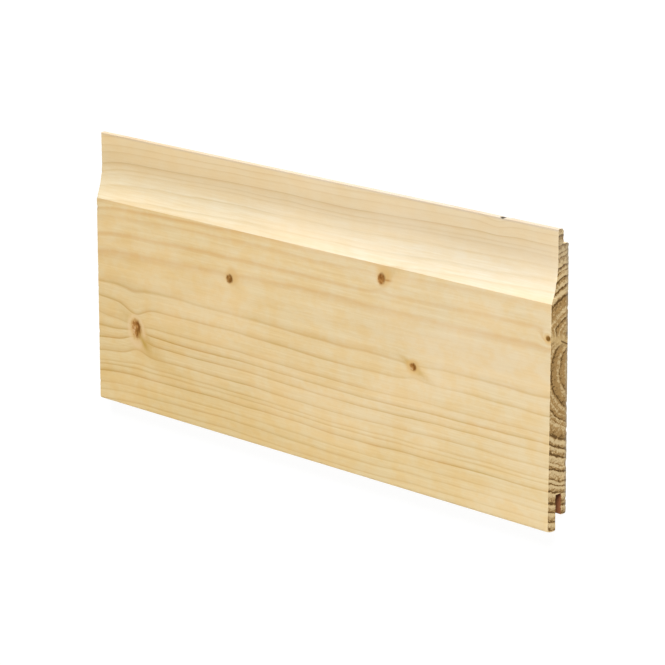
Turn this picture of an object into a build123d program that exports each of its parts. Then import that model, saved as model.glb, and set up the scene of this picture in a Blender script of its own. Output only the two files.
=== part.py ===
from build123d import *
import math
import os

# Shiplap weatherboard: one planed softwood board, lying on its back with its show face up.
# X runs along the board, Y across it towards the tongue, Z out of the show face.
# The origin is on the floor, under the middle of the board.

# Driving dimensions, in millimetres
length = 270.0  # between the two sawn ends
overall_width = 121.0  # lip edge to tongue tip
coved_width = 29.0  # tongue tip to the arris where the cove begins; the show face has the rest
lip_edge_thickness = 10.5  # back to show face at the lip, the thick edge of the board
arris_thickness = 9.5  # back to show face at the cove's arris, the thin edge of the face
cove_radius = 40.0  # hollow that runs from the arris down to the tongue
tongue_thickness = 2.9
tongue_height = 6.0  # tongue tip above the back shoulder
back_rebate = 3.0  # back of the board to the back of the tongue
tongue_clearance = 0.15  # play on each side of a tongue in its groove
groove_depth = 8.7  # from the back lip's edge
lip_overhang = 6.0  # front lip past the back lip, which covers the joint
lip_face_round = 1.2
lip_inner_round = 0.8
back_lip_round = 0.8
shoulder_round = 0.8
tongue_face_round = 0.5
tongue_back_round = 1.1
arris_round = 0.35

# Places across the board, along Y
lip_edge = -overall_width / 2
tongue_tip = overall_width / 2
arris = tongue_tip - coved_width
back_lip_edge = lip_edge + lip_overhang
groove_floor = back_lip_edge + groove_depth
shoulder = tongue_tip - tongue_height

# Heights above the back of the board, along Z
tongue_back = back_rebate
tongue_face = back_rebate + tongue_thickness
groove_back = tongue_back - tongue_clearance
groove_face = tongue_face + tongue_clearance

# The cove is an arc that leaves the tongue's face tangent to it and climbs to the arris
cove_rise = arris_thickness - tongue_face
cove_run = math.sqrt(cove_radius**2 - (cove_radius - cove_rise) ** 2)
cove_foot = (arris + cove_run, tongue_face)
cove_arris = (arris, arris_thickness)
along_face = (-1, 0)

# Corners that the planer head eases, each with its radius
eased_corners = [
    ((lip_edge, lip_edge_thickness), lip_face_round),
    ((lip_edge, groove_face), lip_inner_round),
    ((back_lip_edge, 0), back_lip_round),
    ((shoulder, 0), shoulder_round),
    ((tongue_tip, tongue_back), tongue_back_round),
    ((tongue_tip, tongue_face), tongue_face_round),
    (cove_arris, arris_round),
]

with BuildPart() as board:
    with BuildSketch(Plane.YZ) as section:
        with BuildLine():
            Polyline(
                cove_arris,
                (lip_edge, lip_edge_thickness),
                (lip_edge, groove_face),
                (groove_floor, groove_face),
                (groove_floor, groove_back),
                (back_lip_edge, groove_back),
                (back_lip_edge, 0),
                (shoulder, 0),
                (shoulder, tongue_back),
                (tongue_tip, tongue_back),
                (tongue_tip, tongue_face),
                cove_foot,
            )
            TangentArc(cove_foot, cove_arris, tangent=along_face)
        make_face()
        for corner, radius in eased_corners:
            nearest = section.vertices().sort_by_distance(corner)[0]
            fillet(nearest, radius)
    extrude(amount=length / 2, both=True)
board.part.label = "board"

os.makedirs("parts", exist_ok=True)
export_step(board.part, "parts/board.step")
print("board volume", round(board.part.volume), "mm3, faces", len(board.faces()))
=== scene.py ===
import bpy
import math
from mathutils import Matrix, Vector, noise


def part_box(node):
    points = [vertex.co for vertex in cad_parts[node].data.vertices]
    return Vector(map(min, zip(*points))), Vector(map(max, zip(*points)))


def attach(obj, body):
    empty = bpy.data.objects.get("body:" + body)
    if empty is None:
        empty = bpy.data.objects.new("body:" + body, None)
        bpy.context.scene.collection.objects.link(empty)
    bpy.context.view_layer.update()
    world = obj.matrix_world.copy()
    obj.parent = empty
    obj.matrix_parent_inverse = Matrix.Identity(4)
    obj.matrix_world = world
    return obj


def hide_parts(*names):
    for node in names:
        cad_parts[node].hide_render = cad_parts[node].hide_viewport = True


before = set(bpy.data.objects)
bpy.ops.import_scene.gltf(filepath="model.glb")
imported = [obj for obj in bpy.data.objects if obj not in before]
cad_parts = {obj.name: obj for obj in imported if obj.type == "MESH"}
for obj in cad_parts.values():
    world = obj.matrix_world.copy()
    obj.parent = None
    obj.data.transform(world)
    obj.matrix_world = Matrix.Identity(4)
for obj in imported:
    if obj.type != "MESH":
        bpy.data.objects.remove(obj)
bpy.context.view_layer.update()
print("frame loaded:", sorted(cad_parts))

mm = 0.001
boardLow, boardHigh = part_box("board")
halfLength = boardHigh.x / mm  # the board's own measures, in millimetres
lipEdge = boardLow.y / mm
tongueTip = boardHigh.y / mm
thickness = boardHigh.z / mm


# The tree that the board was sawn from. Places are in millimetres: along the board from its middle,
# across it from the lip edge towards the tongue, and up from the back.
tree = {
    "heart": (63.4, -7.8),  # across and up; the heart of the stem runs behind the board's back
    "climb": (0.0074, 0.0043),  # its drift for each millimetre along
    "bends": [(-1.1, 20.5, 40.0), (0.25, -44.0, 25.0)],  # slow bends of the stem: height, place, spread
    "tongueDrop": (0.4, 2.3, -75.0, 84.0, 8.0),  # grain runs lower in the tongue, most of all at the left
    "coveLean": (-0.013, 101.0, 15.5),  # grain leans in the cove: for each millimetre along, place, spread
    "endCurl": (12.0, -2.4, 4.6, 43.0, 10.0),  # turn at the left end: reach, shift, lift, place, spread
    "swellings": [  # rings pushed out or in: how far, place and spread along, place and spread across
        (2.2, 102.7, 6.5, 121.0, 6.5),
        (-1.3, 10.0, 45.0, 73.5, 4.5),
    ],
    "wobbles": [  # height, and turns for each millimetre along, across and up
        (0.10, 0.11, 0.19, 0.0),
        (0.12, 0.047, -0.31, 0.0),
        (0.05, 0.23, 0.13, 0.6),
    ],
    # radius where the late wood ends, its darkness, how far it fades inwards, its darkness on sawn ends
    "rings": [
        (4.0, 0.7, 2.2, 0.7),
        (8.0, 0.7, 2.2, 0.8),
        (12.2, 0.8, 2.4, 0.9),
        (17.4, 0.15, 1.0, 1.1),
        (19.8, 0.85, 2.8, 0.45),
        (22.4, 0.08, 0.8, 1.1),
        (24.2, 0.78, 2.0, 0.6),
        (30.3, 0.6, 1.6, 1.1),
        (33.6, 0.95, 1.4, 1.2),
        (37.0, 0.9, 1.3, 1.2),
        (39.8, 0.15, 0.9, 0.7),
        (42.1, 0.8, 1.7, 1.3),
        (46.3, 0.6, 1.1, 0.8),
        (48.0, 0.65, 0.9, 1.0),
        (50.9, 1.1, 1.5, 1.1),
        (55.6, 0.5, 1.2, 1.1),
        (58.8, 0.5, 1.1, 1.0),
        (62.9, 0.55, 1.1, 1.0),
        (66.0, 0.4, 1.0, 0.8),
    ],
    "rampEdges": (0.0, 18.4, 31.9, 47.1, 72.0),  # the rings are drawn by ramps that meet at these radii
    "early": (0.772, 0.608, 0.352),
    "late": (0.535, 0.318, 0.105),
    "lateOlive": (0.505, 0.325, 0.095),
    "lateUpper": (0.600, 0.335, 0.115),
    # the next two colours paint the cove's wood and lines paler and greyer: partly lighter wood, partly a
    # painted highlight
    "lateInHighlight": (0.545, 0.455, 0.285),
    "paleAndHighlight": (0.765, 0.712, 0.585),
    "sawnEarly": (0.485, 0.362, 0.188),
    "sawnBrown": (0.268, 0.158, 0.052),
    "sawnLate": (0.092, 0.046, 0.009),
}

# Branches that show as knots: place on the face, half widths along and round the stem, how strongly the
# grain closes in on them and how far that reaches, stained grain to the left and right and which way it
# runs, where the halo lies, how olive the core is, and the pale collar. Some have a tick beside them or a
# lighter core (glow). The last one sinks the grain, leans along the board, starts away from the heart and
# leaves a dark trace on the sawn end.
knots = [
    {
        "along": -109.6, "across": 37.2, "size": (3.25, 2.25), "pull": 0.8, "reach": (7.5, 5.5),
        "stain": (0.6, 0.9), "slant": 1, "halo": (0.2, -0.2), "olive": 0.0, "collar": 0.4, "glow": 0.12,
    },
    {
        "along": -48.3, "across": 70.1, "size": (2.15, 1.95), "pull": 0.45, "reach": (4.5, 4.0),
        "stain": (0.1, 0.3), "slant": 1, "halo": (0.7, 0.6), "olive": 0.4, "collar": 0.0,
    },
    {
        "along": 42.7, "across": 86.0, "size": (2.25, 1.55), "pull": 0.5, "reach": (4.5, 3.5),
        "stain": (0.0, 0.8), "slant": -1, "halo": (0.6, 0.3), "olive": 0.0, "collar": 0.0, "tick": 0.8,
    },
    {
        "along": 61.0, "across": 52.8, "size": (2.0, 1.5), "pull": 0.7, "reach": (5.5, 4.0),
        "stain": (1.0, 0.9), "slant": 1, "halo": (0.0, 0.2), "olive": 0.15, "collar": 0.0, "glow": 0.08,
    },
    {
        "along": 133.4, "across": 78.3, "size": (1.2, 1.15), "pull": 0.3, "reach": (3.5, 2.5),
        "stain": (0.2, 0.2), "slant": 1, "halo": (0.0, -0.3), "olive": 0.7, "collar": 0.0,
        "sink": 3.0, "lean": -0.2, "start": 9.0, "trace": 4.2,
    },
]
knotTones = {
    "dark": (0.205, 0.074, 0.010),
    "light": (0.450, 0.215, 0.055),
    "spot": (0.680, 0.440, 0.220),
    "olive": (0.185, 0.092, 0.014),
    "halo": (0.665, 0.420, 0.158),
    "collar": (0.800, 0.620, 0.390),
    "stain": (0.560, 0.355, 0.100),
    "branch": (0.450, 0.315, 0.140),
}
knotLook = {
    "raggedness": 0.4,
    "branch": (4.0, 1.9, 0.85),  # reach along and round the stem on a sawn end, and strength
    "trace": (0.22, 0.4, 0.8),  # slope, half width and fade
    "stain": (0.6, 1.1, 5.5),  # flatness, half width and half length, in knot widths
    "halo": (2.5, 1.0, 0.0, 0.7),
    "collar": (1.5, 0.35),
    "tick": (1.6, 0.9, 0.2),
    "core": (1.28, 0.62),
}
tipMark = {
    "along": 105.7,
    "depth": 5.2,
    "size": (1.45, 0.9),
    "tint": (0.060, 0.050, 0.036),
    "dent": 0.3,
    "dentFrom": 119.0,
    "dentDepth": 3.2,
    "dentSize": (1.4, 0.9),
    "dentPeak": 1.2,
}
resin = {  # streak below the largest knot
    "along": -104.5,
    "across": 31.3,
    "slope": -49.5,
    "size": (4.4, 1.4),
    "tint": (0.50, 0.31, 0.065),
    "strength": 0.9,
}
# the groove's tint is painted shade: its inside walls are painted dark red-brown
groove = {"bottom": 14.7, "low": 2.85, "high": 6.05, "tint": (0.22, 0.087, 0.034)}
faceShape = {"lipThickness": 10.5, "arrisThickness": 9.5, "arris": 92.0}  # it thins from lip to arris


class Wire:
    # a shader value, so that maths on it reads as plain sums; numbers join in on either side
    def __init__(self, sheet, socket):
        self.sheet = sheet
        self.socket = socket

    def math(self, operation, *others):
        return self.sheet.node("ShaderNodeMath", {"operation": operation}, dict(enumerate((self, *others))))

    def __add__(self, other):
        return self.math("ADD", other)

    def __sub__(self, other):
        return self.math("SUBTRACT", other)

    def __mul__(self, other):
        return self.math("MULTIPLY", other)

    def __truediv__(self, other):
        return self.math("DIVIDE", other)

    def __rsub__(self, other):
        return self * -1 + other

    __radd__ = __add__
    __rmul__ = __mul__


class Sheet:
    # the node sheet of one material
    def __init__(self, name):
        self.material = bpy.data.materials.new(name)
        self.material.use_nodes = True
        self.tree = self.material.node_tree
        self.tree.nodes.clear()

    def node(self, kind, settings, sockets, out=0):
        made = self.tree.nodes.new(kind)
        for name, value in settings.items():
            if name == "stops":
                fillRamp(made.color_ramp, value)
            else:
                setattr(made, name, value)
        for key, value in sockets.items():
            if isinstance(value, Wire):
                self.tree.links.new(value.socket, made.inputs[key])
            else:
                made.inputs[key].default_value = value
        return Wire(self, made.outputs[out]) if len(made.outputs) else None

    def mix(self, factor, first, second, blend="MIX"):
        settings = {"data_type": "RGBA", "blend_type": blend}
        return self.node("ShaderNodeMix", settings, {0: factor, 6: paint(first), 7: paint(second)}, out=2)

    def noise(self, x, y, z, detail=2.0, roughness=0.5):
        place = self.node("ShaderNodeCombineXYZ", {}, {"X": x, "Y": y, "Z": z})
        sockets = {"Vector": place, "Scale": 1.0, "Detail": detail, "Roughness": roughness}
        return self.node("ShaderNodeTexNoise", {}, sockets)

    def fade(self, value, start, end, low=0.0, high=1.0):
        sockets = {"Value": value, "From Min": start, "From Max": end, "To Min": low, "To Max": high}
        return self.node("ShaderNodeMapRange", {"interpolation_type": "SMOOTHSTEP"}, sockets)

    def split(self, vector):
        first = self.node("ShaderNodeSeparateXYZ", {}, {"Vector": vector})
        return [Wire(self, output) for output in first.socket.node.outputs]


def paint(colour):
    return colour if isinstance(colour, Wire) else (*colour, 1.0)


def fillRamp(ramp, stops):
    ramp.elements.remove(ramp.elements[1])
    for place, tone in stops:
        element = ramp.elements.new(place) if place > 0 else ramp.elements[0]
        element.color = (tone, tone, tone, 1.0)


# These work on plain numbers and on shader values, so the mesh and the material share one set of rings
def sine(x):
    return x.math("SINE") if isinstance(x, Wire) else math.sin(x)


def root(x):
    return x.math("SQRT") if isinstance(x, Wire) else math.sqrt(x)


def decay(x):
    return (x * -1).math("EXPONENT") if isinstance(x, Wire) else math.exp(-x)


def bell(x, y=0.0):
    return decay(x * x + y * y)


def fromHeart(along, across, depth):
    # how far a place is from the heart of the tree: across, and out through the face
    reach, shift, lift, middle, spread = tree["endCurl"]
    drop, leftDrop, leftPlace, leftSpread, tongueSpread = tree["tongueDrop"]
    leftDrop = bell((along - leftPlace) / leftSpread) * leftDrop
    sway = bell((across - tongueTip + lipEdge) / tongueSpread) * (leftDrop + drop) * -1
    for height, middleAlong, spreadAlong in tree["bends"]:
        sway = sway + bell((along - middleAlong) / spreadAlong) * height
    curl = decay((along + halfLength) / reach) * (bell((across - middle) / spread) * lift + shift)
    for size, turnAlong, turnAcross, turnUp in tree["wobbles"]:
        sway = sway + sine(along * turnAlong + across * turnAcross + depth * turnUp) * size
    return (
        across - along * tree["climb"][0] - tree["heart"][0] - sway - curl,
        depth - along * tree["climb"][1] - tree["heart"][1],
    )


def faceDepth(across):
    thinning = faceShape["lipThickness"] - faceShape["arrisThickness"]
    return faceShape["lipThickness"] - across * thinning / faceShape["arris"]


def besideKnot(knot, along, v, w):
    # where a place lies beside a branch: along the board, round the stem, and out from the heart
    kv, kw = fromHeart(knot["along"], knot["across"], faceDepth(knot["across"]))
    start = knot.get("start", 0.0)  # how far across from the heart the branch begins
    reach = math.hypot(kv - start, kw)
    sideways, upwards = (kv - start) / reach, kw / reach
    outwards = (v - start) * sideways + w * upwards
    lengthwise = along - knot["along"] - (outwards - reach) * knot.get("lean", 0.1)
    return lengthwise, (v - start) * upwards - w * sideways, outwards, reach


def ringRadius(along, across, depth):
    # the distance from the heart that the rings follow, with the grain closing in on each knot
    v, w = fromHeart(along, across, depth)
    plain = root(v * v + w * w)
    lean, middle, spread = tree["coveLean"]
    radius = plain + bell((across - middle) / spread) * along * lean
    for height, middleAlong, spreadAlong, middleAcross, spreadAcross in tree["swellings"]:
        swell = bell((along - middleAlong) / spreadAlong, (across - middleAcross) / spreadAcross)
        radius = radius + swell * height
    for knot in knots:
        lengthwise, beside, outwards, reach = besideKnot(knot, along, v, w)
        near = bell(lengthwise / knot["reach"][0], beside / knot["reach"][1])
        radius = radius + near * ((plain - reach) * knot["pull"] + knot.get("sink", 0.0))
    return radius


# How dark a ring is from its early wood outwards: a share of its width and of its fade, an inset in
# millimetres, and the tone there
crispProfile = [(0.0, 1.0, 0.0, 0.1), (0.0, 0.0, 0.55, 0.42), (0.0, 0.0, 0.15, 1.0), (0.0, 0.0, -0.2, 0.0)]
softProfile = [(0.0, 1.0, 0.4, 0.0), (0.0, 0.0, 0.8, 0.5), (0.0, 0.0, 0.1, 0.95), (0.0, 0.0, -0.7, 0.0)]
sawnProfile = [(0.85, 0.0, 0.0, 0.0), (0.62, 0.0, 0.0, 0.35), (0.22, 0.0, 0.1, 0.6), (0.12, 0.0, 0.1, 1.0),
               (-0.02, 0.0, -0.1, 0.0)]


def ringStops(low, high, profile, column):
    # stops of a ramp over the rings between two radii
    stops = [(0.0, 0.0)]
    before = 0.0
    for ring in tree["rings"]:
        width = ring[0] - before
        before = ring[0]
        if low <= ring[0] < high:
            for widthShare, fadeShare, inset, tone in profile:
                at = ring[0] - width * widthShare - ring[2] * fadeShare - inset
                stops.append((max((at - low) / (high - low), 0.001), tone * ring[column]))
    return sorted(stops)


def ringTone(sheet, radius, profile, column):
    edges = tree["rampEdges"]
    tone = 0.0
    for low, high in zip(edges, edges[1:]):
        stops = ringStops(low, high, profile, column)
        ramp = sheet.node("ShaderNodeValToRGB", {"stops": stops}, {"Fac": (radius - low) / (high - low)})
        tone = ramp.math("MAXIMUM", tone)
    return tone


planedNoise = {  # turns for each millimetre along and across the grain, detail, roughness
    "life": (0.012, 0.16, 1.0, 0.5),
    "streak": (0.012, 0.9, 3.0, 0.5),
    "fibre": (0.06, 1.5, 3.0, 0.6),
    "cloud": (0.016, 0.05, 2.0, 0.5),
    "blush": (0.09, 0.33, 2.0, 0.5),
    "mottle": (0.11, 0.14, 3.0, 0.6),
    "fleck": (0.3, 1.1, 2.0, 0.5),
    "wave": (0.035, 0.13, 2.0, 0.5),
}
planedTints = {  # range of the noise, strength, colour
    "streak": (0.3, 0.72, 0.26, (0.66, 0.47, 0.22)),
    "fibre": (0.3, 0.7, 0.24, (0.60, 0.42, 0.20)),
    "fleck": (0.55, 0.75, 0.08, (0.86, 0.71, 0.49)),
    "cloud": (0.42, 0.68, 0.3, (0.85, 0.67, 0.43)),
}
zones = {  # where a part of the face fades in: start and end, across the board unless it says along
    # where the cove is painted paler, partly lighter wood and partly a painted highlight
    "paleAndHighlight": (114.0, 98.0),
    "upper": (56.0, 68.0),
    "middle": (36.0, 58.0),
    "tongueLines": (106.0, 110.0),
    "tongue": (100.0, 109.0),
    "tip": (119.6, 120.9),
    "lip": (40.0, 10.0),
    "heart": (45.0, 66.0),
    "heartAlong": (-60.0, 110.0),
    "linesAlong": (60.0, -60.0),
    "warmAlong": (150.0, -135.0),
}
zoneTints = {
    "mottle": ((1.0, 0.962, 0.885), (1.0, 1.04, 1.12)),
    # painted light: a paler colour over the tongue and the upper cove
    "tongue": (0.83, 0.665, 0.445),
    "tip": (0.78, 0.82, 1.0),
    "warm": (0.97, 0.925, 0.81),
    "lip": (0.995, 0.985, 0.93),
    "heart": (0.955, 0.96, 0.975),
}


def planedWood(sheet, along, across, depth, radius):
    # colour of the planed faces, with the late wood's tone and the fibre for the relief
    noises = {}
    for name, (turnsAlong, turnsAcross, detail, roughness) in planedNoise.items():
        if name in ("life", "streak"):
            place = (radius * turnsAcross, 0.0)  # these two follow the rings
        else:
            place = (across * turnsAcross, depth * turnsAcross)
        noises[name] = sheet.noise(along * turnsAlong, *place, detail, roughness)
    showFace = sheet.fade(across, faceShape["arris"] + 0.1, faceShape["arris"] - 0.1)
    paleAndHighlight = (1 - showFace) * sheet.fade(across, *zones["paleAndHighlight"])  # the cove is painted paler and greyer: partly lighter wood, partly a painted highlight where the lamp strikes it
    upper = showFace * sheet.fade(across, *zones["upper"])  # soft lines where the face runs along the rings

    bent = radius + (noises["wave"] - 0.5) * 0.9
    crisp = ringTone(sheet, bent, crispProfile, 1)
    late = crisp + (ringTone(sheet, bent, softProfile, 1) * 0.75 - crisp) * upper
    late = late * sheet.fade(noises["life"], 0.25, 0.75, 0.65, 1.2)
    late = late * sheet.fade(along, *zones["linesAlong"], 0.92, 1.15)
    late = late * (1 - showFace * sheet.fade(across, *zones["middle"], 0.0, 0.25)) * (1 - paleAndHighlight * 0.6)
    late = late * sheet.fade(across, *zones["tongueLines"], 1.0, 1.25)
    lateColour = sheet.mix(sheet.fade(noises["blush"], 0.4, 0.6), tree["lateOlive"], tree["late"])
    lateColour = sheet.mix(paleAndHighlight, sheet.mix(upper, lateColour, tree["lateUpper"]), tree["lateInHighlight"])
    colour = sheet.mix(late, sheet.mix(paleAndHighlight * 0.75, tree["early"], tree["paleAndHighlight"]), lateColour)
    for name, (low, high, strength, tint) in planedTints.items():
        colour = sheet.mix(sheet.fade(noises[name], low, high, 0.0, strength), colour, tint)
    patch = sheet.mix(sheet.fade(noises["mottle"], 0.3, 0.7), *zoneTints["mottle"])
    colour = sheet.mix(1 - paleAndHighlight * 0.6, colour, patch, "MULTIPLY")
    # painted light: the tongue and upper cove are painted paler, standing in for the light there
    colour = sheet.mix(sheet.fade(across, *zones["tongue"], 0.0, 0.45), colour, zoneTints["tongue"])
    heart = sheet.fade(along, *zones["heartAlong"]) * sheet.fade(across, *zones["heart"]) * (1 - paleAndHighlight)
    shares = {
        "tip": sheet.fade(across, *zones["tip"]),
        "warm": sheet.fade(along + across * 0.5, *zones["warmAlong"]),
        "lip": sheet.fade(across, *zones["lip"]),
        "heart": heart,
    }
    for name, share in shares.items():
        colour = sheet.mix(share, colour, zoneTints[name], "MULTIPLY")
    return colour, late, noises["fibre"]


sawnLook = {
    "tear": (0.3, 1.8),  # turns for each millimetre, and strength
    "speck": (0.8, 2.0),
    "grit": (2.2, 0.9),
    "dark": (0.6, 0.88),  # tones between which the late wood turns dark
    "brown": (-0.15, 0.38),  # tones between which the early wood turns brown
    "outer": (25.0, 33.0, 0.0, 0.25),  # radii over which the early wood grows paler, and how much
    "core": (26.0, 15.0, 0.0, 0.25),  # radii over which it grows browner, and how much
    # painted shade: the sawn end is greyed along its back edge
    "shadedBackEdge": (1.8, 0.3, 0.0, 0.55),
    "greyTongue": (100.0, 114.0, 0.0, 0.35),
    "grey": (0.26, 0.215, 0.150),
}


def sawnWood(sheet, along, across, depth, radius):
    # colour of the sawn ends: torn and speckled bands, greyer at the back edge where shade is painted; with
    # its dark parts and specks
    look = sawnLook
    tearTurns, tearStrength = look["tear"]
    speckTurns, speckStrength = look["speck"]
    gritTurns, gritStrength = look["grit"]
    tear = sheet.noise(along * tearTurns, across * tearTurns, depth * tearTurns, 2.0)
    speck = sheet.noise(along * speckTurns, across * speckTurns, depth * speckTurns, 3.0, 0.65)
    grit = sheet.noise(along * gritTurns, across * gritTurns, depth * gritTurns, 2.0)
    late = ringTone(sheet, radius + (tear - 0.5) * tearStrength, sawnProfile, 3)
    torn = late + (speck - 0.5) * speckStrength + (grit - 0.5) * gritStrength
    dark = sheet.fade(torn, *look["dark"])
    brown = sheet.fade(torn - sheet.fade(radius, *look["outer"]), *look["brown"])
    brown = brown + sheet.fade(radius, *look["core"])
    colour = sheet.mix(brown, tree["sawnEarly"], tree["sawnBrown"])
    colour = sheet.mix(dark, colour, tree["sawnLate"])
    grey = sheet.fade(depth, *look["shadedBackEdge"]) + sheet.fade(across, *look["greyTongue"])
    return sheet.mix(grey, colour, look["grey"]), dark, speck


def knotty(sheet, colour, along, across, depth, sawn):
    # adds the knots: a tinted halo to one side, a pale collar, stained grain, and a mottled core
    v, w = fromHeart(along, across, depth)
    planed = 1 - sawn
    for knot in knots:
        lengthwise, beside, outwards, reach = besideKnot(knot, along, v, w)
        width = outwards.math("MAXIMUM", 0.5) / reach
        fromSide, fromTop = lengthwise / (width * knot["size"][0]), beside / (width * knot["size"][1])
        mottle = sheet.noise(lengthwise * 0.8, beside * 0.8, outwards * 0.1 + knot["along"])
        distance = root(fromSide * fromSide + fromTop * fromTop) + (mottle - 0.5) * knotLook["raggedness"]
        reachAlong, reachRound, strength = knotLook["branch"]
        branch = bell(lengthwise / reachAlong) * sawn
        colour = sheet.mix(bell(beside / reachRound) * branch * strength, colour, knotTones["branch"])
        if "trace" in knot:
            slope, halfWidth, fadeOut = knotLook["trace"]
            trace = bell((beside + (knot["trace"] - depth) * slope) / halfWidth)
            trace = trace * sheet.fade(depth, knot["trace"], knot["trace"] - fadeOut)
            colour = sheet.mix(trace * branch, colour, tree["sawnLate"])
        flatness, halfWidth, stainLength = knotLook["stain"]
        acrossStain = (fromSide * flatness + fromTop * knot["slant"]) / halfWidth
        stain = bell(acrossStain, (fromTop - fromSide * knot["slant"]) / stainLength)
        stain = stain * sheet.fade(fromSide, -0.6, 0.6, *knot["stain"])
        stain = stain * sheet.fade(mottle, 0.3, 0.6, 0.7, 1.0)
        colour = sheet.mix(stain * planed, colour, knotTones["stain"])
        fromHalo = (fromSide - knot["halo"][0], fromTop - knot["halo"][1])
        halo = root(fromHalo[0] * fromHalo[0] + fromHalo[1] * fromHalo[1])
        colour = sheet.mix(sheet.fade(halo, *knotLook["halo"]) * planed, colour, knotTones["halo"])
        collarPlace, collarWidth = knotLook["collar"]
        collar = bell((distance - collarPlace) / collarWidth) * planed * knot["collar"]
        colour = sheet.mix(collar, colour, knotTones["collar"])
        if "tick" in knot:
            tickPlace, tickLength, tickWidth = knotLook["tick"]
            tick = bell((fromSide - tickPlace) / tickLength, fromTop / tickWidth) * knot["tick"]
            colour = sheet.mix(tick, colour, knotTones["light"])
        shade = mottle * 1.8 - fromSide * 0.35 - fromTop * 0.1 + knot.get("glow", 0.0)
        core = sheet.mix(sheet.fade(shade, 0.6, 1.3), knotTones["dark"], knotTones["light"])
        core = sheet.mix(sheet.fade(shade, 1.15, 1.4, 0.0, 0.8), core, knotTones["spot"])
        core = sheet.mix(knot["olive"], core, knotTones["olive"])
        colour = sheet.mix(sheet.fade(distance, *knotLook["core"]) * planed, colour, core)
    return colour


woodSurface = {
    "roughness": (0.64, 0.76),
    "sawnRougher": 0.15,
    "specular": 0.18,
    "bump": (0.35, 0.0002),  # strength, and height in metres
}


def woodMaterial():
    sheet = Sheet("bareSoftwood")
    metres = sheet.node("ShaderNodeTexCoord", {}, {}, out="Object")
    place = sheet.node("ShaderNodeVectorMath", {"operation": "SCALE"}, {"Vector": metres, "Scale": 1 / mm})
    along, fromMiddle, depth = sheet.split(place)
    across = fromMiddle - lipEdge
    normalX, _, normalZ = sheet.split(sheet.node("ShaderNodeNewGeometry", {}, {}, out="Normal"))
    sawn = sheet.fade(normalX.math("ABSOLUTE"), 0.55, 0.8)

    radius = ringRadius(along, across, depth)
    planed, late, fibre = planedWood(sheet, along, across, depth, radius)
    torn, dark, speck = sawnWood(sheet, along, across, depth, radius)
    colour = sheet.mix(sawn, planed, torn)
    colour = knotty(sheet, colour, along, across, depth, sawn)

    # resin beside the largest knot, the mark on the tongue's tip, and painted shade in the groove
    slope = math.radians(resin["slope"])
    fromAlong, fromAcross = along - resin["along"], across - resin["across"]
    lengthways = (fromAlong * math.cos(slope) + fromAcross * math.sin(slope)) / resin["size"][0]
    sideways = (fromAcross * math.cos(slope) - fromAlong * math.sin(slope)) / resin["size"][1]
    onFace = sheet.fade(normalZ, 0.6, 0.9)
    colour = sheet.mix(bell(lengthways, sideways) * onFace * resin["strength"], colour, resin["tint"])
    markLength, markHeight = tipMark["size"]
    fromTip = (across - tongueTip + lipEdge) / markHeight
    mark = bell(fromTip, (depth - tipMark["depth"]) / markHeight)
    mark = bell((along - tipMark["along"]) / markLength) * mark
    colour = sheet.mix(sheet.fade(mark, 0.2, 0.6), colour, tipMark["tint"])
    # painted shade: the inside of the groove is painted dark
    grooveShade = sheet.fade(across, 0.5, 1.5)
    grooveShade = grooveShade * sheet.fade(across, groove["bottom"] + 0.1, groove["bottom"] + 0.05)
    middle, half = (groove["low"] + groove["high"]) / 2, (groove["high"] - groove["low"]) / 2
    grooveShade = grooveShade * sheet.fade((depth - middle).math("ABSOLUTE"), half + 0.06, half + 0.02)
    colour = sheet.mix(grooveShade * (1 - sawn), colour, groove["tint"])

    rough = sheet.fade(fibre, 0.3, 0.7, *woodSurface["roughness"]) + sawn * woodSurface["sawnRougher"]
    height = fibre * 0.3 - late * 0.2 + (speck * 2.0 - dark) * sawn
    strength, distance = woodSurface["bump"]
    bump = sheet.node("ShaderNodeBump", {}, {"Height": height, "Strength": strength, "Distance": distance})
    sockets = {"Base Color": colour, "Roughness": rough, "Normal": bump}
    sockets["Specular IOR Level"] = woodSurface["specular"]
    surface = sheet.node("ShaderNodeBsdfPrincipled", {}, sockets)
    sheet.node("ShaderNodeOutputMaterial", {}, {"Surface": surface})
    return sheet.material


boardShape = {
    "alongStep": 3.0,
    "acrossStep": 1.0,
    "stretches": [(2.0, 91.0), (93.0, 108.0), (110.0, 120.0)],  # parts of the section that are cut finer
    "coveRadius": 40.0,
    "coveMiddle": (108.6, 45.9),  # across and up
    "endSteps": [0.0, 0.3, 0.7, 1.2, 2.0],  # closer steps beside each sawn end
    "endGrid": 0.52,
    "sawnDepth": 0.22,  # how far the saw tears into the ends
    "sawnShares": (0.15, 0.35, 0.5),  # of that: all over, between the hard rings, and in random tears
    "sawnTurns": (1.7, 1.1),  # of the rings and of the tears, for each millimetre
    "chipReach": 1.1,
    "chipDepth": 0.3,  # how deep the chips along the ends' edges are
    "knotDepth": 0.1,
    "smoothAngle": 20.0,
}


def onlySelect(piece):
    bpy.ops.object.select_all(action="DESELECT")
    piece.select_set(True)
    bpy.context.view_layer.objects.active = piece


def selectFaces(piece, wanted):
    bpy.ops.mesh.select_all(action="DESELECT")
    bpy.ops.object.mode_set(mode="OBJECT")
    for face in piece.data.polygons:
        face.select = wanted(face)
    bpy.ops.object.mode_set(mode="EDIT")


def selectPoints(piece, wanted):
    bpy.ops.mesh.select_mode(type="VERT")
    bpy.ops.mesh.select_all(action="DESELECT")
    bpy.ops.object.mode_set(mode="OBJECT")
    for point in piece.data.vertices:
        point.select = wanted(point)
    bpy.ops.object.mode_set(mode="EDIT")


def cutThrough(axis, place):
    normal = Vector((0, 0, 0))
    normal[axis] = 1
    bpy.ops.mesh.select_all(action="SELECT")
    bpy.ops.mesh.bisect(plane_co=normal * place * mm, plane_no=normal)


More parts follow.
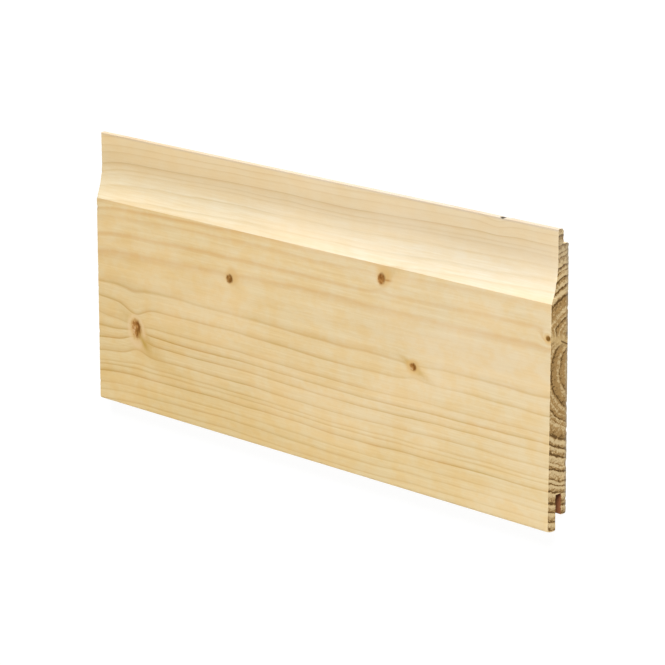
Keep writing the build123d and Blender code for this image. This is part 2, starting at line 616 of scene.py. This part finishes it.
def roundCove(piece):
    # the new points of the cove are moved from its chords to its curve
    middle, height = boardShape["coveMiddle"]
    bpy.ops.object.mode_set(mode="OBJECT")
    places = [point.co / mm for point in piece.data.vertices]
    bpy.ops.object.mode_set(mode="EDIT")
    for index, place in enumerate(places):
        across = place.y - lipEdge
        curve = height - math.sqrt(max(boardShape["coveRadius"] ** 2 - (across - middle) ** 2, 0.0))
        if faceShape["arris"] + 0.2 < across < middle - 0.1 and place.z > curve - 0.1:
            selectPoints(piece, lambda point: point.index == index)
            bpy.ops.transform.translate(value=(0, 0, (curve - place.z) * mm))
    bpy.ops.mesh.select_mode(type="FACE")


def pressIn(piece, name, direction, depth, weightAt):
    # moves points by a depth, as a painted vertex group and a Displace modifier do
    group = piece.vertex_groups.new(name=name)
    for point in piece.data.vertices:
        weight = weightAt(point.co.x / mm, point.co.y / mm - lipEdge, point.co.z / mm)
        if weight > 0.001:
            group.add([point.index], min(weight, 1.0), "REPLACE")
    modifier = piece.modifiers.new(name, "DISPLACE")
    modifier.direction = direction
    modifier.vertex_group = name
    modifier.mid_level = 0.0
    modifier.strength = depth * mm
    bpy.ops.object.modifier_apply(modifier=name)
    piece.vertex_groups.remove(piece.vertex_groups[name])


def nearKnot(knot, along, across, depth):
    # distance from a knot's middle on the face, in its own radii
    v, w = fromHeart(along, across, depth)
    lengthwise, beside, outwards, reach = besideKnot(knot, along, v, w)
    return math.hypot(lengthwise, beside) / knot["size"][0] if outwards > 0 else 99.0


def dishWeight(along, across, depth):
    return 1.4 - max(0.4, min(nearKnot(knot, along, across, depth) for knot in knots))


def dentWeight(along, across, depth):
    if across < tipMark["dentFrom"]:
        return 0.0
    dentLength, dentHeight = tipMark["dentSize"]
    fromMiddle = ((along - tipMark["along"]) / dentLength, (depth - tipMark["dentDepth"]) / dentHeight)
    return tipMark["dentPeak"] * bell(*fromMiddle)


def sawnWeight(along, across, depth):
    # early wood and noise are torn deeper than the hard rings
    allOver, soft, torn = boardShape["sawnShares"]
    ringTurns, tearTurns = boardShape["sawnTurns"]
    ring = bell((math.sin(ringRadius(along, across, depth) * ringTurns) + 1) * 0.7)
    tear = abs(noise.noise(Vector((across * tearTurns, depth * tearTurns, along))))
    return allOver + soft * ring + torn * tear


def rightSawWeight(along, across, depth):
    return sawnWeight(along, across, depth) if along > halfLength - 0.01 else 0.0


def leftSawWeight(along, across, depth):
    return sawnWeight(along, across, depth) if along < 0.01 - halfLength else 0.0


def chipWeight(along, across, depth):
    fromEnd = halfLength - abs(along)
    tear = noise.noise(Vector((across * 0.55, depth * 0.4, along * 0.1 + 7.0))) * 2.0 - 0.35
    return max(tear, 0.0) * max(1.0 - fromEnd / boardShape["chipReach"], 0.0)


def makeBoard():
    shape = boardShape
    piece = bpy.data.objects.new("weatherboard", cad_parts["board"].data.copy())
    bpy.context.scene.collection.objects.link(piece)
    onlySelect(piece)
    bpy.ops.mesh.customdata_custom_splitnormals_clear()
    bpy.ops.object.mode_set(mode="EDIT")
    bpy.ops.mesh.select_mode(type="FACE")
    bpy.ops.mesh.select_all(action="SELECT")
    bpy.ops.mesh.remove_doubles(threshold=1e-6)
    selectFaces(piece, lambda face: face.normal.x > -0.9)  # only the left end is kept, as the section
    bpy.ops.mesh.delete(type="FACE")
    bpy.ops.mesh.select_all(action="SELECT")
    bpy.ops.mesh.dissolve_limited(angle_limit=math.radians(0.05))
    selectPoints(piece, lambda point: abs(point.co.y / mm - lipEdge - faceShape["arris"]) < 0.15)
    bpy.ops.mesh.merge(type="CENTER")  # the arris is one crisp edge
    bpy.ops.mesh.select_mode(type="FACE")
    for low, high in shape["stretches"]:
        for step in range(int((high - low) / shape["acrossStep"]) + 1):
            cutThrough(1, lipEdge + low + step * shape["acrossStep"])
    roundCove(piece)

    ends = shape["endSteps"]
    between = 2 * (halfLength - ends[-1])
    count = round(between / shape["alongStep"])
    stations = ends + [ends[-1] + between * step / count for step in range(1, count)]
    stations += [2 * halfLength - inset for inset in reversed(ends)]
    bpy.ops.mesh.select_all(action="SELECT")
    for here, there in zip(stations, stations[1:]):
        bpy.ops.mesh.extrude_region_move(TRANSFORM_OT_translate={"value": ((there - here) * mm, 0, 0)})
    bpy.ops.mesh.select_all(action="SELECT")
    bpy.ops.mesh.normals_make_consistent(inside=False)

    selectFaces(piece, lambda face: abs(face.normal.x) > 0.9)
    bpy.ops.mesh.hide(unselected=True)  # the sawn ends alone are cut into a fine grid
    for axis, low, high in ((2, 0.0, thickness), (1, lipEdge + 0.25, tongueTip)):
        for step in range(1, int((high - low) / shape["endGrid"]) + 1):
            cutThrough(axis, low + step * shape["endGrid"])
    bpy.ops.mesh.reveal(select=False)
    for knot in knots:
        middle = Vector((knot["along"], knot["across"] + lipEdge, faceDepth(knot["across"]))) * mm
        reach = 2.4 * knot["size"][0] * mm
        selectFaces(piece, lambda face: face.normal.z > 0.7 and (face.center - middle).length < reach)
        bpy.ops.mesh.subdivide(number_cuts=4)
    bpy.ops.object.mode_set(mode="OBJECT")
    print("board cut:", len(piece.data.vertices), "points,", len(piece.data.polygons), "faces")

    pressIn(piece, "knotDish", "NORMAL", -shape["knotDepth"], dishWeight)
    pressIn(piece, "tipDent", "NORMAL", -tipMark["dent"], dentWeight)
    pressIn(piece, "endChips", "NORMAL", -shape["chipDepth"], chipWeight)
    pressIn(piece, "rightSaw", "X", -shape["sawnDepth"], rightSawWeight)
    pressIn(piece, "leftSaw", "X", shape["sawnDepth"], leftSawWeight)
    return piece


board = makeBoard()
board.data.materials.clear()
board.data.materials.append(woodMaterial())
onlySelect(board)
bpy.ops.object.shade_smooth_by_angle(angle=math.radians(boardShape["smoothAngle"]))
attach(board, "root")
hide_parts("board")
print("board dressed")


studio = {
    "floorSize": 12.0,
    "floorColour": (0.12, 0.12, 0.12),
    "floorGlow": 0.94,
    "keyFrom": (0.39, 0.72, 0.51),
    "keyPower": 171.5,
    "keySize": (1.4, 1.4),
    "fillFrom": (0.1, -1.0, 0.12),
    "fillPower": 95.0,
    "fillSize": (2.2, 0.5),
    "lampDistance": 3.2,
    "skyStrength": 0.14,
}


def makeFloor():
    bpy.ops.object.select_all(action="DESELECT")
    bpy.ops.mesh.primitive_plane_add(size=studio["floorSize"], location=(0, 0, 0))
    floor = bpy.context.object
    floor.name = "studioFloor"
    sheet = Sheet("paleFloor")
    sockets = {
        "Base Color": paint(studio["floorColour"]),
        "Roughness": 0.9,
        "Specular IOR Level": 0.0,
        "Emission Color": paint((1.0, 1.0, 1.0)),
        "Emission Strength": studio["floorGlow"],
    }
    surface = sheet.node("ShaderNodeBsdfPrincipled", {}, sockets)
    sheet.node("ShaderNodeOutputMaterial", {}, {"Surface": surface})
    floor.data.materials.append(sheet.material)


def makeLight(name, direction, power, size):
    aim = Vector(direction).normalized()
    lamp = bpy.data.objects.new(name, bpy.data.lights.new(name, "AREA"))
    lamp.data.energy = power
    lamp.data.shape = "RECTANGLE"
    lamp.data.size, lamp.data.size_y = size
    lamp.location = aim * studio["lampDistance"]
    lamp.rotation_euler = aim.to_track_quat("Z", "Y").to_euler()
    bpy.context.scene.collection.objects.link(lamp)


def makeSky():
    sky = bpy.data.worlds.new("softSky")
    sky.use_nodes = True
    sky.node_tree.nodes["Background"].inputs["Color"].default_value = (1, 1, 1, 1)
    sky.node_tree.nodes["Background"].inputs["Strength"].default_value = studio["skyStrength"]
    bpy.context.scene.world = sky
    bpy.context.scene.view_settings.view_transform = "Standard"


view = {  # the photograph's viewpoint, fitted to the board's straight edges; degrees and millimetres
    "turn": 45.93,
    "rise": 15.14,
    "roll": -0.48,
    "distance": 1328.6,
    "aside": (-2.64, -51.88),
    "focalPixels": 3148.0,
    "imagePixels": 665.0,
    "sensor": 36.0,
}


def makeCamera():
    turn, rise, roll = (math.radians(view[key]) for key in ("turn", "rise", "roll"))
    right = Vector((math.cos(turn), 0, -math.sin(turn)))
    up = Vector((-math.sin(turn) * math.sin(rise), math.cos(rise), -math.cos(turn) * math.sin(rise)))
    back = Vector((math.sin(turn) * math.cos(rise), math.sin(rise), math.cos(turn) * math.cos(rise)))
    right, up = right * math.cos(roll) + up * math.sin(roll), up * math.cos(roll) - right * math.sin(roll)
    aside = right * view["aside"][0] + up * view["aside"][1]
    stand = back * view["distance"] - aside + Vector((0, lipEdge, 0))
    camera = bpy.data.objects.new("camera", bpy.data.cameras.new("camera"))
    camera.data.sensor_width = view["sensor"]
    camera.data.lens = view["focalPixels"] / view["imagePixels"] * view["sensor"]
    camera.matrix_world = Matrix.Translation(stand * mm) @ Matrix((right, up, back)).transposed().to_4x4()
    bpy.context.scene.collection.objects.link(camera)
    bpy.context.scene.camera = camera


makeFloor()
makeLight("keyLight", studio["keyFrom"], studio["keyPower"], studio["keySize"])
makeLight("fillLight", studio["fillFrom"], studio["fillPower"], studio["fillSize"])
makeSky()
makeCamera()
print("studio and camera set")
